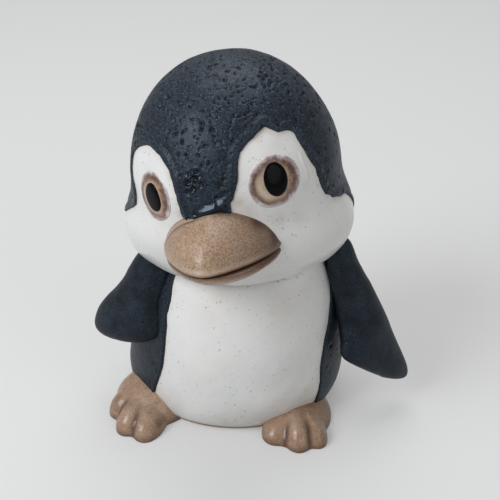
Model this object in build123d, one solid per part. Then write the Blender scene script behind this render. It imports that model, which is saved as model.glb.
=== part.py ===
from build123d import *

import math
import os

# A penguin figurine in stoneware: hollow clay parts luted together, under separate coats of glaze.
# Lengths are in millimetres and angles in degrees. The bird stands on z = 0 and faces -Y,
# so its left side is at +X.

# Coats of glaze and the clay under them
dark_coat_thickness = 1.0
pale_coat_thickness = 0.6
iris_coat_thickness = 0.5
pupil_coat_thickness = 0.75
clay_wall = 4.5
bare_foot_ring = 0.8

# Body: oval rings from the flat base to the rounded neck stub, leaning to the bird's left
body_width = 47.0
body_depth = 41.0
body_height = 48.0
neck_lean = 4.0
base_vent_diameter = 7.0
base_vent_setback = 9.0
neck_vent_diameter = 6.0
body_ring_shares = (
    # height, width, depth, setback
    (0.0, 0.92, 0.90, 0.0),
    (0.08, 0.985, 0.97, -0.005),
    (0.26, 1.0, 1.0, -0.012),
    (0.48, 0.965, 0.965, -0.01),
    (0.68, 0.87, 0.86, 0.0),
    (0.84, 0.68, 0.67, 0.0),
    (0.95, 0.40, 0.40, 0.0),
    (1.0, 0.0, 0.0, 0.0),
)

# Belly: the pale front, as seen from straight ahead
belly_width = 34.5
belly_sideways = 2.0
belly_height = body_height
belly_start_share = 0.12
belly_side_shares = (
    # half width, height
    (0.47, 0.0),
    (0.50, 0.22),
    (0.50, 0.45),
    (0.45, 0.72),
    (0.36, 1.0),
)

# Head: oval rings from the open neck to the crown, about the head's own centre
head_width = 47.8
head_depth = 45.0
head_height = 46.0
head_lift = 7.5
head_rise = body_height + head_lift
head_forward = 2.0
head_sideways = 0.9
head_tilt = 5.0
head_turn = 6.0
head_ring_shares = (
    # height, width, depth, setback
    (-0.435, 0.70, 0.66, 0.0),
    (-0.37, 0.90, 0.80, -0.01),
    (-0.28, 1.0, 0.90, -0.012),
    (-0.19, 0.985, 0.96, -0.01),
    (-0.08, 0.90, 0.99, 0.0),
    (0.06, 0.86, 1.0, 0.0),
    (0.20, 0.79, 0.92, 0.0),
    (0.32, 0.67, 0.775, 0.0),
    (0.42, 0.475, 0.545, 0.0),
    (0.475, 0.27, 0.31, 0.0),
    (0.5, 0.0, 0.0, 0.0),
)

# Face: set askew on the head, with a pale lobe round each eye and pale cheeks that fall away behind
face_tilt = 6.5
face_top = 18.0
lobe_width = 17.0
lobe_height = 20.6
lobe_outline_shares = (
    # outwards from the eye, upwards from the eye
    (-0.53, -0.50),
    (-0.51, -0.17),
    (-0.46, -0.05),
    (-0.37, 0.18),
    (-0.18, 0.37),
    (0.17, 0.50),
    (0.42, 0.33),
    (0.49, 0.10),
    (0.54, -0.29),
    (0.62, -0.50),
)
cheek_outline_shares = (
    # back from the head's centre, up from the head's centre
    (-0.22, -0.07),
    (-0.08, -0.13),
    (0.04, -0.27),
    (0.06, -0.42),
)

# Eyes, on axes through the head's centre, both turned a little from the beak
eye_turn = 3.5
eye_azimuth = 34.2
eye_latitude = 8.2
iris_width = 10.4
iris_height = 9.6
pupil_width = 5.2
pupil_height = 6.8

# Beak, let into the face and cut along the mouth
beak_width = 22.3
beak_length = 13.8
beak_sink = 6.25
beak_seat = head_depth / 2 - beak_sink
beak_sideways = 1.2
beak_tilt = 5.2
upper_beak_height = 8.4
lower_beak_height = 5.1
lower_beak_inset = 0.3
mouth_drop = 7.6
mouth_droop = 4.9
mouth_groove = 0.5

# Flippers
left_flipper_reach_share = 0.685
right_flipper_reach_share = 0.56
left_flipper_length = left_flipper_reach_share * body_height
right_flipper_length = right_flipper_reach_share * body_height
left_flipper_width = 12.4
right_flipper_width = 14.9
flipper_thickness = 8.0
flipper_curl = 2.5
flipper_tip_setback = 3.9
shoulder_sideways = 4.2
shoulder_spread = 15.3
left_stand_off = 2.9
right_stand_off = 5.9
shoulder_drop = 10.0
shoulder_rise = body_height - shoulder_drop
shoulder_forward = 2.6
left_flipper_flare = 15.0
right_flipper_flare = 7.3
left_flipper_sweep = 2.5
right_flipper_sweep = 7.5
flipper_twist = 66.0
left_tip_width_share = 0.50
right_tip_width_share = 0.88
tip_ring_share = 0.92
tip_thickness_share = 0.58
flipper_ring_shares = (
    # length, width, thickness, standing off from the shoulder
    (0.0, 0.45, 0.90, 0.0),
    (0.22, 0.60, 1.0, 0.70),
    (0.50, 0.75, 0.96, 1.0),
    (0.74, 1.0, 0.84, 1.0),
)

# Feet
foot_width = 16.0
foot_length = 20.0
foot_height = 8.5
foot_spread = 15.8
foot_forward = 10.0
toe_out = 12.0
toe_width = 7.0
toe_length = 12.2
toe_height = 5.6
toe_splay = 24.0

# Tail
tail_width = 13.0
tail_length = 20.0
tail_height = 8.0
tail_rise = 5.5
tail_back = 17.0
tail_slope = 12.0


def oval_loft(ring_shares, width, depth, height, lean=0):
    """Ovals stacked up the Z axis; a ring with no width is a pole."""
    rings = []
    for height_share, width_share, depth_share, setback_share in ring_shares:
        centre = (lean * height_share, setback_share * depth, height_share * height)
        if width_share == 0:
            rings.append(Vertex(*centre))
        else:
            rings.append(Pos(*centre) * Ellipse(width_share * width / 2, depth_share * depth / 2))
    return loft(rings)


def ellipsoid(width, depth, height):
    return scale(Sphere(1), by=(width / 2, depth / 2, height / 2))


def body_form(inset):
    return oval_loft(
        body_ring_shares, body_width - 2 * inset, body_depth - 2 * inset, body_height - inset, neck_lean
    )


def head_form(inset):
    """In the head's own frame, about its centre."""
    return oval_loft(
        head_ring_shares, head_width - 2 * inset, head_depth - 2 * inset, head_height - 2 * inset
    )


def face_form(inset):
    """The head's form below the crown, where the face lies."""
    return split(head_form(inset), bisect_by=Plane.XY.offset(face_top), keep=Keep.BOTTOM)


def placed_head(shape):
    centre = Pos(head_sideways, -head_forward, head_rise)
    return centre * Rot(0, 0, -head_turn) * Rot(0, -head_tilt, 0) * shape


def belly_cutter():
    """The pale front, pushed from near the body's middle out to the front."""
    right_side = []
    left_side = []
    for half_width_share, height_share in belly_side_shares:
        middle = belly_sideways + neck_lean * height_share
        rise = height_share * belly_height
        right_side.append((middle - half_width_share * belly_width, rise))
        left_side.append((middle + half_width_share * belly_width, rise))
    left_edge = Spline(*left_side)
    right_edge = Spline(*right_side)
    outline = left_edge + Line(left_side[-1], right_side[-1])
    outline += right_edge + Line(right_side[0], left_side[0])
    start = Plane.XZ.offset(belly_start_share * body_depth)
    return extrude(start * make_face(outline), body_depth)


def on_face(shape):
    """From the face's frame to the head's."""
    return Rot(0, -face_tilt, 0) * shape


def round_eyes(shape):
    """From the frame of the eyes to the head's."""
    return on_face(Rot(0, 0, eye_turn) * shape)


def eye_plane():
    """Through the head's centre, square to the axis of the bird's left eye."""
    azimuth = math.radians(eye_azimuth)
    latitude = math.radians(eye_latitude)
    axis = (
        math.sin(azimuth) * math.cos(latitude),
        -math.cos(azimuth) * math.cos(latitude),
        math.sin(latitude),
    )
    outwards = (math.cos(azimuth), math.sin(azimuth), 0)
    return Plane(origin=(0, 0, 0), x_dir=outwards, z_dir=axis)


def on_both_sides(shape):
    return shape, mirror(shape, about=Plane.YZ)


def eye_cutter(width, height):
    return extrude(eye_plane() * Ellipse(width / 2, height / 2), head_depth)


def face_cutter():
    points = [(out * lobe_width, up * lobe_height) for out, up in lobe_outline_shares]
    lobe_outline = Spline(*points) + Line(points[-1], points[0])
    lobe = extrude(eye_plane() * make_face(lobe_outline), head_depth)
    left_lobe, right_lobe = on_both_sides(lobe)

    edge = [(back * head_depth, up * head_height) for back, up in cheek_outline_shares]
    front_top = (-head_depth, edge[0][1])
    front_bottom = (-head_depth, -head_height)
    back_bottom = (edge[-1][0], -head_height)
    cheek_outline = Spline(*edge) + Polyline(edge[-1], back_bottom, front_bottom, front_top, edge[0])
    cheeks = extrude(Plane.YZ * make_face(cheek_outline), head_width, both=True)
    return round_eyes(left_lobe + right_lobe + cheeks)


def beak_half(inset, height, keep):
    """One half of the beak, cut flat at the mouth."""
    whole = ellipsoid(beak_width - 2 * inset, 2 * (beak_length - inset), 2 * height)
    return split(whole, bisect_by=Plane.XY, keep=keep)


def grooved(half):
    """A half of the beak with the edge along the mouth taken off."""
    rim = half.faces().filter_by(GeomType.PLANE).edges()
    return chamfer(rim, mouth_groove)


def seated_beak(half):
    """From the beak's own frame to the head's."""
    seat = Pos(beak_sideways, -beak_seat, -mouth_drop) * Rot(mouth_droop, 0, 0)
    return Rot(0, -beak_tilt, 0) * seat * half


def flipper_form(length, width, tip_width_share, stand_off, flare, sweep):
    """The bird's left flipper, hung from the middle of its shoulder."""
    hang = Rot(-sweep, 0, 0) * Rot(0, -flare, 0) * Rot(0, 0, -flipper_twist)
    rings = []
    for length_share, width_share, thickness_share, stand_off_share in (
        *flipper_ring_shares,
        (tip_ring_share, tip_width_share, tip_thickness_share, 1),
    ):
        curve_share = length_share**2
        centre = Pos(curve_share * flipper_curl, curve_share * flipper_tip_setback, -length_share * length)
        ring = Ellipse(thickness_share * flipper_thickness / 2, width_share * width / 2)
        rings.append(Pos(stand_off_share * stand_off, 0, 0) * hang * centre * ring)
    tip = Pos(stand_off, 0, 0) * hang * Pos(flipper_curl, flipper_tip_setback, -length)
    rings.append(Vertex(*tip.position))
    return Pos(shoulder_spread, 0, 0) * loft(rings)


def foot_form():
    """The bird's left foot: an instep and three toes, flat underneath."""
    foot = ellipsoid(foot_width, foot_length, 2 * foot_height)
    for splay in (-toe_splay, 0, toe_splay):
        toe = Pos(0, -toe_length / 2, 0) * ellipsoid(toe_width, toe_length, 2 * toe_height)
        foot += Rot(0, 0, splay) * toe
    foot = split(foot, bisect_by=Plane.XY, keep=Keep.TOP)
    return Pos(foot_spread, -foot_forward, 0) * Rot(0, 0, toe_out) * foot


def tail_form():
    blade = ellipsoid(tail_width, tail_length, tail_height)
    blade = Pos(0, tail_back, tail_rise) * Rot(-tail_slope, 0, 0) * blade
    return split(blade, bisect_by=Plane.XY.offset(bare_foot_ring), keep=Keep.TOP)


def build():
    body_outside = body_form(0)
    body_clay = body_form(dark_coat_thickness)
    head_outside = placed_head(head_form(0))
    head_clay_form = head_form(dark_coat_thickness)
    head_clay = placed_head(head_clay_form)

    shoulders = Pos(shoulder_sideways, -shoulder_forward, shoulder_rise)
    left_flipper = shoulders * flipper_form(
        left_flipper_length,
        left_flipper_width,
        left_tip_width_share,
        left_stand_off,
        left_flipper_flare,
        left_flipper_sweep,
    )
    right_flipper = flipper_form(
        right_flipper_length,
        right_flipper_width,
        right_tip_width_share,
        right_stand_off,
        right_flipper_flare,
        right_flipper_sweep,
    )
    right_flipper = shoulders * mirror(right_flipper, about=Plane.YZ)
    left_foot, right_foot = on_both_sides(foot_form())
    tail = tail_form()
    fitted = left_flipper + right_flipper + left_foot + right_foot + tail

    hollow = body_form(dark_coat_thickness + clay_wall)
    hollow = split(hollow, bisect_by=Plane.XY.offset(clay_wall), keep=Keep.TOP)
    base_vent = Pos(0, base_vent_setback, 0) * extrude(Circle(base_vent_diameter / 2), clay_wall)
    neck_vent = Pos(neck_lean, 0, 0) * extrude(Circle(neck_vent_diameter / 2), body_height)
    neck_vent = split(neck_vent, bisect_by=Plane.XY.offset(body_height / 2), keep=Keep.TOP)
    head_hollow = placed_head(head_form(dark_coat_thickness + clay_wall))

    above_ring = Plane.XY.offset(bare_foot_ring)
    belly = belly_cutter()
    pale_step = dark_coat_thickness - pale_coat_thickness
    belly_coat = (body_form(pale_step) & belly) - body_clay - head_outside - fitted
    back_coat = body_outside - belly - body_clay - head_outside - fitted

    face = face_cutter()
    upper_half = beak_half(0, upper_beak_height, Keep.TOP)
    lower_half = beak_half(lower_beak_inset, lower_beak_height, Keep.BOTTOM)
    upper_beak = seated_beak(grooved(upper_half))
    lower_beak = seated_beak(grooved(lower_half))
    upper_socket = seated_beak(upper_half)
    lower_socket = seated_beak(lower_half)
    left_iris_hole, right_iris_hole = on_both_sides(eye_cutter(iris_width, iris_height))
    left_pupil_hole, right_pupil_hole = on_both_sides(eye_cutter(pupil_width, pupil_height))
    face_coat = (face_form(pale_step) - head_clay_form) & face
    face_coat = face_coat - upper_socket - lower_socket
    face_coat = face_coat - round_eyes(left_iris_hole) - round_eyes(right_iris_hole)
    hood_coat = head_form(0) - face - head_clay_form - upper_socket - lower_socket
    iris_layer = face_form(dark_coat_thickness - iris_coat_thickness) - head_clay_form
    pupil_layer = face_form(dark_coat_thickness - pupil_coat_thickness) - head_clay_form
    left_iris = iris_layer & round_eyes(left_iris_hole - left_pupil_hole)
    right_iris = iris_layer & round_eyes(right_iris_hole - right_pupil_hole)
    left_pupil = pupil_layer & round_eyes(left_pupil_hole)
    right_pupil = pupil_layer & round_eyes(right_pupil_hole)

    return {
        "body_shell": body_clay - hollow - base_vent - neck_vent,
        "head_shell": head_clay - head_hollow - body_clay,
        "back_coat": split(back_coat, bisect_by=above_ring, keep=Keep.TOP),
        "belly_coat": split(belly_coat, bisect_by=above_ring, keep=Keep.TOP),
        "hood_coat": placed_head(hood_coat) - body_clay,
        "face_coat": placed_head(face_coat) - body_clay,
        "upper_beak": placed_head(upper_beak - head_clay_form),
        "lower_beak": placed_head(lower_beak - head_clay_form),
        "left_iris": placed_head(left_iris),
        "right_iris": placed_head(right_iris),
        "left_pupil": placed_head(left_pupil),
        "right_pupil": placed_head(right_pupil),
        "left_flipper": left_flipper - body_clay - head_outside,
        "right_flipper": right_flipper - body_clay - head_outside,
        "left_foot": left_foot - body_clay,
        "right_foot": right_foot - body_clay,
        "tail": tail - body_clay,
    }


os.makedirs("parts", exist_ok=True)
for name, shape in build().items():
    export_step(shape, f"parts/{name}.step")
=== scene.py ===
import math

import bmesh
import bpy
import numpy as np
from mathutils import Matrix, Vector
from mathutils.kdtree import KDTree


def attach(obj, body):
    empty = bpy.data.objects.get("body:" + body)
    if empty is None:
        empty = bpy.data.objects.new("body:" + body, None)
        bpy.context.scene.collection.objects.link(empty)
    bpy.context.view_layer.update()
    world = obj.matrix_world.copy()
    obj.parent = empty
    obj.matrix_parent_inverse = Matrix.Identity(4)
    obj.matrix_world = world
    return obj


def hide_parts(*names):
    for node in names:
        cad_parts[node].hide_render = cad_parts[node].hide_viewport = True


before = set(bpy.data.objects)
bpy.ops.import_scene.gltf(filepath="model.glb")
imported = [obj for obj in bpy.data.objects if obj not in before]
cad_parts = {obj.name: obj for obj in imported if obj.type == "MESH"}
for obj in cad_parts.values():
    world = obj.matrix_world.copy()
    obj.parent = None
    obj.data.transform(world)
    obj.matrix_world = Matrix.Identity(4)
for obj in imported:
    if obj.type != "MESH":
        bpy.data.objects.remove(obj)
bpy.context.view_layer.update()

scene = bpy.context.scene
mm = 0.001  # shapes are worked out in millimetres, in the figurine's own frame
speck, tiny, hairline = 1e-9, 1e-6, 0.01  # least lengths, to keep divisions and thin ends safe
mirrorX = np.array([-1.0, 1.0, 1.0])


# small maths

def unit(values):
    return np.clip(values, 0, 1)


def eased(share):
    return share * share * (3 - 2 * share)


def hump(values, middle, width):
    # 1 at the middle, falling away smoothly on both sides
    return np.exp(-(((values - middle) / width) ** 2))


def ramp(values, start, span):
    # 0 up to the start, then rising to 1 over the span
    return unit((values - start) / span)


def signedPower(values, power):
    return np.sign(values) * np.abs(values) ** power


def unitRows(vectors, floor=0.0):
    return vectors / (np.linalg.norm(vectors, axis=1)[:, None] + floor)


def naturalSpline(x, y, at):
    x, y = np.asarray(x, float), np.asarray(y, float)
    count = len(x)
    gap = np.diff(x)
    matrix = np.eye(count)
    right = np.zeros(count)
    for i in range(1, count - 1):
        matrix[i, i - 1 : i + 2] = gap[i - 1], 2 * (gap[i - 1] + gap[i]), gap[i]
        right[i] = 6 * ((y[i + 1] - y[i]) / gap[i] - (y[i] - y[i - 1]) / gap[i - 1])
    bend = np.linalg.solve(matrix, right)
    k = np.clip(np.searchsorted(x, at) - 1, 0, count - 2)
    a = (x[k + 1] - at) / gap[k]
    b = (at - x[k]) / gap[k]
    curve = (a**3 - a) * bend[k] + (b**3 - b) * bend[k + 1]
    return a * y[k] + b * y[k + 1] + curve * gap[k] ** 2 / 6


def ringRows(shares, width, depth, height, count):
    # rows of height, half width, half depth and setback, smooth through the given rings
    rings = np.array(shares, float) * (height, width / 2, depth / 2, depth)
    girth = (rings[:, 1] + rings[:, 2]) / 2
    x = np.r_[0, np.cumsum(np.hypot(np.diff(rings[:, 0]), np.diff(girth)))]
    at = np.linspace(0, x[-1], count)
    return np.stack([naturalSpline(x, rings[:, k], at) for k in range(4)], 1)


def formRows(shape):
    return ringRows(shape["rings"], shape["width"], shape["depth"], shape["height"], shape["rows"])


def turned(axis, degrees):
    c, s = math.cos(math.radians(degrees)), math.sin(math.radians(degrees))
    table = {
        "X": [[1, 0, 0], [0, c, -s], [0, s, c]],
        "Y": [[c, 0, s], [0, 1, 0], [-s, 0, c]],
        "Z": [[c, -s, 0], [s, c, 0], [0, 0, 1]],
    }
    return np.array(table[axis], float)


lumpHash = {"turn": (12.9898, 78.233, 37.719), "stretch": 43758.5453, "shift": 7.31}  # scrambles corners into heights


def lumps(points, size, seed):
    # smooth random swell between -1 and 1, with bumps about `size` apart
    p = points / size + seed * lumpHash["shift"]
    base = np.floor(p)
    f = eased(p - base)
    total = np.zeros(len(p))
    for corner in range(8):
        o = np.array([corner & 1, corner >> 1 & 1, corner >> 2 & 1], float)
        h = np.sin((base + o) @ np.array(lumpHash["turn"]) + seed) * lumpHash["stretch"]
        total += np.prod(np.where(o == 1, f, 1 - f), axis=1) * (h - np.floor(h))
    return total * 2 - 1


def swellOf(points, layers, shift=0):
    # several lump patterns added up: size, height and seed of each
    return sum(height * lumps(points, size, seed + shift) for size, height, seed in layers)


def smoothLoop(points, steps):
    # a rounded closed path through a few given points
    p = np.array(points, float)
    out = []
    for i in range(len(p)):
        a, b, c, d = (p[(i + k) % len(p)] for k in (-1, 0, 1, 2))
        bend, twist = 2 * a - 5 * b + 4 * c - d, 3 * b - a - 3 * c + d
        for k in range(steps):
            t = k / steps
            out.append(0.5 * (2 * b + (c - a) * t + bend * t * t + twist * t**3))
    return np.array(out)


def insideBy(points, loop):
    # distance from a closed path, positive inside it
    nearest = np.full(len(points), np.inf)
    crossings = np.zeros(len(points), int)
    x, y = points[:, 0], points[:, 1]
    for a, b in zip(loop, np.roll(loop, -1, axis=0)):
        e = b - a
        t = unit(((x - a[0]) * e[0] + (y - a[1]) * e[1]) / max(e @ e, speck))
        nearest = np.minimum(nearest, np.hypot(x - a[0] - t * e[0], y - a[1] - t * e[1]))
        hit = (a[1] > y) != (b[1] > y)
        if abs(e[1]) > speck:
            crossings += hit & (x < a[0] + (y - a[1]) / e[1] * e[0])
    return np.where(crossings % 2 == 1, nearest, -nearest)


def quadSphere(cells):
    # unit directions spread evenly over a ball, in quads
    a = np.tan(np.linspace(-1, 1, cells + 1) * math.pi / 4)
    u, v = np.meshgrid(a, a, indexing="ij")
    one = np.ones_like(u)
    sides = [(one, u, v), (-one, v, u), (v, one, u), (u, -one, v), (u, v, one), (v, u, -one)]
    points = unitRows(np.concatenate([np.stack(s, -1).reshape(-1, 3) for s in sides]))
    unique, index = np.unique(np.round(points, 6), axis=0, return_inverse=True)
    row = cells + 1
    i, j = np.meshgrid(np.arange(cells), np.arange(cells), indexing="ij")
    first = (i * row + j)[..., None] + np.array([0, row, row + 1, 1])
    quads = np.concatenate([first.reshape(-1, 4) + side * row * row for side in range(6)])
    return unitRows(unique), index.reshape(-1)[quads]


# pieces

def newPiece(name, points, faces, material, node, masks, depth=0.0):
    # a mesh piece in place of a CAD node, with its masks for the glaze and, for a coat, its depth
    mesh = bpy.data.meshes.new(name)
    corners = [tuple(p) for p in np.asarray(points) * mm]
    mesh.from_pydata(corners, [], [tuple(int(i) for i in f) for f in faces])
    mesh.validate()
    mesh.update()
    mesh.polygons.foreach_set("use_smooth", [True] * len(mesh.polygons))
    mesh.materials.append(material)
    obj = bpy.data.objects.new(name, mesh)
    scene.collection.objects.link(obj)
    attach(obj, "root")
    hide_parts(node)
    for label, values in masks.items():
        layer = mesh.attributes.new(label, "FLOAT", "POINT")
        layer.data.foreach_set("value", np.asarray(values, np.float32))
    if depth:
        thick = obj.modifiers.new("coatDepth", "SOLIDIFY")
        thick.thickness = depth * mm
        thick.offset = -1
        thick.use_rim = True
    print("piece", name, len(mesh.polygons), "faces")


cutRules = {"margin": 0.6, "snap": 0.12}  # skin kept past the cut while cutting; share of an edge that snaps


def cutSkin(points, quads, fieldOf, keepFrom, fineNear=0.0):
    # keeps the part of a skin where the field is above keepFrom, cut cleanly along that line
    field = fieldOf(points) - keepFrom
    near = field[quads].max(1) > -cutRules["margin"]
    used = np.unique(quads[near])
    place = np.full(len(points), -1)
    place[used] = np.arange(len(used))
    bm = bmesh.new()
    value = bm.verts.layers.float.new("field")
    verts = [bm.verts.new(p) for p in points[used]]
    for q in place[quads[near]]:
        bm.faces.new([verts[i] for i in q])
    for v, f in zip(verts, field[used]):
        v[value] = f
    if fineNear:
        close = [e for e in bm.edges if min(abs(v[value]) for v in e.verts) < fineNear]
        bmesh.ops.subdivide_edges(bm, edges=close, cuts=1, use_grid_fill=True)
        bm.verts.ensure_lookup_table()
        fresh = np.array([v.co for v in bm.verts])
        for v, f in zip(bm.verts, fieldOf(fresh) - keepFrom):
            v[value] = f
    for e in list(bm.edges):  # a crossing that is very near a corner is moved onto it
        a, b = e.verts
        if a[value] * b[value] < 0:
            share = a[value] / (a[value] - b[value])
            if share < cutRules["snap"]:
                a[value] = 0.0
            elif share > 1 - cutRules["snap"]:
                b[value] = 0.0
    edge = [v for v in bm.verts if v[value] == 0.0]
    for e in list(bm.edges):
        a, b = e.verts
        if a[value] * b[value] < 0:
            _, v = bmesh.utils.edge_split(e, a, a[value] / (a[value] - b[value]))
            v[value] = 0.0
            edge.append(v)
    bmesh.ops.connect_verts(bm, verts=edge)
    gone = [f for f in bm.faces if sum(v[value] for v in f.verts) < 0]
    bmesh.ops.delete(bm, geom=gone, context="FACES")
    bmesh.ops.delete(bm, geom=[v for v in bm.verts if not v.link_faces], context="VERTS")
    bm.verts.index_update()
    outPoints = np.array([v.co for v in bm.verts])
    outFaces = [[v.index for v in f.verts] for f in bm.faces]
    outField = np.array([v[value] for v in bm.verts])
    bm.free()
    return outPoints, outFaces, outField


def gridFaces(rows, columns):
    # quads between neighbouring rows of points; each row closes up into a ring
    faces = []
    for i in range(rows - 1):
        low, high = i * columns, (i + 1) * columns
        for j in range(columns):
            k = (j + 1) % columns
            faces.append((low + j, low + k, high + k, high + j))
    return faces


def turnedOver(faces):
    return [tuple(reversed(f)) for f in faces]


pitForm = {"sizes": 0.42, "depths": (0.6, 1.2), "oval": 0.35, "search": 1.3, "darken": 1.6}


def pitted(points, outward, pits, chances, shift=0):
    # pits sunk into a glaze, a little out of round; also gives how deep in a pit each point is
    rng = np.random.default_rng(pits["seed"] + shift)
    tree = KDTree(len(points))
    for i, p in enumerate(points):
        tree.insert(p, i)
    tree.balance()
    depth = np.zeros(len(points))
    mask = np.zeros(len(points))
    for centre in rng.choice(len(points), pits["count"], p=chances / chances.sum(), replace=False):
        radius = pits["radius"] * math.exp(rng.normal(0, pitForm["sizes"]))
        deep = min(radius * pits["deep"] * rng.uniform(*pitForm["depths"]), pits["deepest"])
        stretch = rng.normal(0, pitForm["oval"], 3)
        for _, i, d in tree.find_range(points[centre], radius * pitForm["search"]):
            r = (d + abs((points[i] - points[centre]) @ stretch)) / radius
            if r < 1:
                depth[i] = max(depth[i], deep * (1 - r * r))
                mask[i] = max(mask[i], min(1.0, pitForm["darken"] * (1 - r * r)))
    return points - outward * depth[:, None], mask


# nodes

def addNode(tree, kind, **settings):
    node = tree.nodes.new(kind)
    for key, value in settings.items():
        setattr(node, key, value)
    return node


def feed(tree, source, socket):
    # a number or a colour is set on the socket, anything else is linked to it
    if isinstance(source, (int, float)):
        socket.default_value = source
    elif isinstance(source, tuple):
        socket.default_value = (*source, 1)
    else:
        tree.links.new(source, socket)


def mathNode(tree, operation, first, second, clamp=False):
    node = addNode(tree, "ShaderNodeMath", operation=operation, use_clamp=clamp)
    feed(tree, first, node.inputs[0])
    feed(tree, second, node.inputs[1])
    return node.outputs[0]


def times(tree, first, second, clamp=False):
    return mathNode(tree, "MULTIPLY", first, second, clamp)


def mixColour(tree, share, first, second):
    node = addNode(tree, "ShaderNodeMix", data_type="RGBA")
    for source, place in ((share, 0), (first, 6), (second, 7)):  # the colour sockets come after the plain ones
        feed(tree, source, node.inputs[place])
    return node.outputs[2]


def tinted(tree, colour, mask, share, tint):
    return mixColour(tree, times(tree, mask, share), colour, tint)


def remap(tree, source, low, high, toLow=0.0, toHigh=1.0):
    node = addNode(tree, "ShaderNodeMapRange", clamp=True)
    for value, socket in zip((source, low, high, toLow, toHigh), node.inputs):
        feed(tree, value, socket)
    return node.outputs[0]


def rampNode(tree, source, stops):
    node = addNode(tree, "ShaderNodeValToRGB")
    elements = node.color_ramp.elements
    while len(elements) < len(stops):
        elements.new(0.5)
    for element, (position, colour) in zip(elements, stops):
        element.position = position
        element.color = (*colour, 1)
    tree.links.new(source, node.inputs[0])
    return node.outputs[0]


def readMask(tree, name):
    return addNode(tree, "ShaderNodeAttribute", attribute_name=name).outputs["Fac"]


def brokenMask(tree, name, cloud, least):
    # a mask of the piece, broken up by a cloud but never quite lost
    return times(tree, readMask(tree, name), mathNode(tree, "ADD", cloud, least), True)


# node groups for the glazes

def newGroup(name, inputs, outputs):
    group = bpy.data.node_groups.new(name, "ShaderNodeTree")
    for label, value in inputs.items():
        socket = group.interface.new_socket(label, in_out="INPUT", socket_type="NodeSocketFloat")
        socket.default_value = value
    for label in outputs:
        group.interface.new_socket(label, in_out="OUTPUT", socket_type="NodeSocketFloat")
    return group, group.nodes.new("NodeGroupInput"), group.nodes.new("NodeGroupOutput")


def placedTexture(group, kind, scale, **settings):
    node = addNode(group, kind, **settings)
    group.links.new(addNode(group, "ShaderNodeTexCoord").outputs["Object"], node.inputs["Vector"])
    group.links.new(scale, node.inputs["Scale"])
    return node


# flecks: smallest dot for its cell, share of a dot that is solid; then the noise of stains and skin
groupForm = {"least": 0.35, "core": 0.6, "stainDetail": 5, "stainRoughness": 0.6, "skinDetail": 2}


def fleckGroup():
    # scattered round specks: sharp-edged dots of uneven size in some cells of a cell pattern
    group, source, sink = newGroup("glazeFlecks", {"Spacing": 400.0, "Dot": 0.2, "Share": 0.3}, ["Mask"])
    cells = placedTexture(group, "ShaderNodeTexVoronoi", source.outputs["Spacing"], feature="F1")
    split = addNode(group, "ShaderNodeSeparateColor")
    group.links.new(cells.outputs["Color"], split.inputs[0])
    chosen = mathNode(group, "LESS_THAN", split.outputs[0], source.outputs["Share"])
    uneven = mathNode(group, "ADD", split.outputs[1], groupForm["least"])
    edge = mathNode(group, "DIVIDE", cells.outputs["Distance"], times(group, source.outputs["Dot"], uneven))
    dot = remap(group, edge, 1.0, groupForm["core"])
    group.links.new(times(group, dot, chosen), sink.inputs["Mask"])
    return group


def stainGroup():
    # soft uneven clouds of colour
    group, source, sink = newGroup("glazeStain", {"Scale": 90.0, "Low": 0.4, "High": 0.7}, ["Mask"])
    cloud = placedTexture(group, "ShaderNodeTexNoise", source.outputs["Scale"])
    cloud.inputs["Detail"].default_value = groupForm["stainDetail"]
    cloud.inputs["Roughness"].default_value = groupForm["stainRoughness"]
    mask = remap(group, cloud.outputs["Fac"], source.outputs["Low"], source.outputs["High"])
    group.links.new(mask, sink.inputs["Mask"])
    return group


def skinGroup():
    # fine orange-peel and grain height of a fired glaze
    inputs = {"Grain": 2600.0, "Peel": 500.0, "PeelShare": 0.6}
    group, source, sink = newGroup("glazeSkin", inputs, ["Height", "GrainMask"])
    blend = addNode(group, "ShaderNodeMix")
    group.links.new(source.outputs["PeelShare"], blend.inputs[0])
    for label, place in (("Grain", 2), ("Peel", 3)):
        noise = placedTexture(group, "ShaderNodeTexNoise", source.outputs[label])
        noise.inputs["Detail"].default_value = groupForm["skinDetail"]
        group.links.new(noise.outputs["Fac"], blend.inputs[place])
        if label == "Grain":
            group.links.new(noise.outputs["Fac"], sink.inputs["GrainMask"])
    group.links.new(blend.outputs[0], sink.inputs["Height"])
    return group


flecks, stains, skin = fleckGroup(), stainGroup(), skinGroup()


def useGroup(tree, group, **values):
    node = addNode(tree, "ShaderNodeGroup", node_tree=group)
    for label, value in values.items():
        node.inputs[label].default_value = value
    return node.outputs


def speckled(tree, spacing, dot, share):
    return useGroup(tree, flecks, Spacing=spacing, Dot=dot, Share=share)["Mask"]


def clouded(tree, scale, low, high):
    return useGroup(tree, stains, Scale=scale, Low=low, High=high)["Mask"]


def skinned(tree, grain, peel, peelShare):
    outputs = useGroup(tree, skin, Grain=grain, Peel=peel, PeelShare=peelShare)
    return outputs["Height"], outputs["GrainMask"]


# glazes

def newMaterial(name, look):
    material = bpy.data.materials.new(name)
    material.use_nodes = True
    shader = material.node_tree.nodes["Principled BSDF"]
    shader.inputs["Roughness"].default_value = look["roughness"]
    shader.inputs["Specular IOR Level"].default_value = look["specular"]
    return material, material.node_tree, shader


def dressed(tree, shader, look, colour, height, rough=None):
    tree.links.new(colour, shader.inputs["Base Color"])
    if rough is not None:
        tree.links.new(rough, shader.inputs["Roughness"])
    strength, depth = look["bump"]
    bump = addNode(tree, "ShaderNodeBump")
    bump.inputs["Strength"].default_value = strength
    bump.inputs["Distance"].default_value = depth * mm
    tree.links.new(height, bump.inputs["Height"])
    tree.links.new(bump.outputs[0], shader.inputs["Normal"])


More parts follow.
